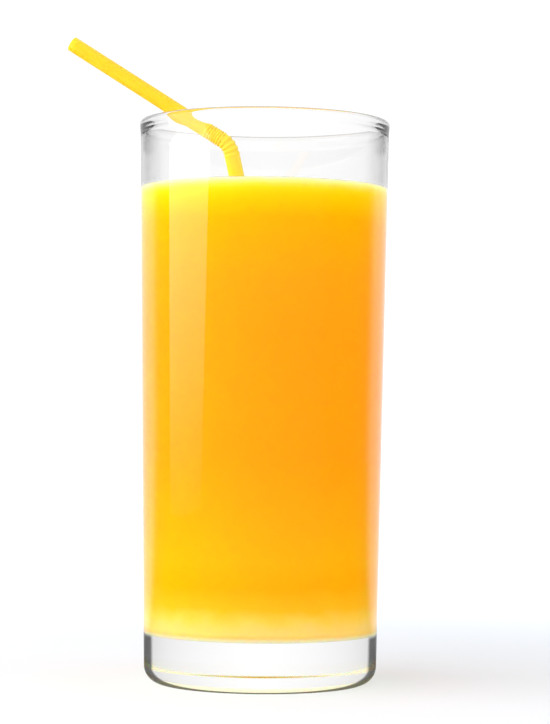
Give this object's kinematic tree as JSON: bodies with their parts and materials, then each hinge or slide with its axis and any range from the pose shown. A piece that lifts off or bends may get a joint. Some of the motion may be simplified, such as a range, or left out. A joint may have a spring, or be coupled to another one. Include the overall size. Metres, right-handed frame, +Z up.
{
  "type": "glass of orange juice",
  "caption": "Tall straight-sided drinking glass with a thick clear foot, filled with orange juice, and a yellow bendy straw leaning over its rim.",
  "frame": {"origin": "middle of the glass's flat underside, on the glass's axis", "axes": "+Z up along the glass's axis, -Y to the front, straw's short arm towards -X"},
  "size_m": [0.0853, 0.067, 0.17],
  "materials": {
    "glass": "clear pressed soda-lime glass, fire-polished",
    "juice": "cloudy orange juice, wet surface",
    "straw": "lemon yellow extruded polypropylene, satin"
  },
  "bodies": {
    "root": {"glass": "glass", "juice": "juice", "straw": "straw"}
  },
  "joints": []
}
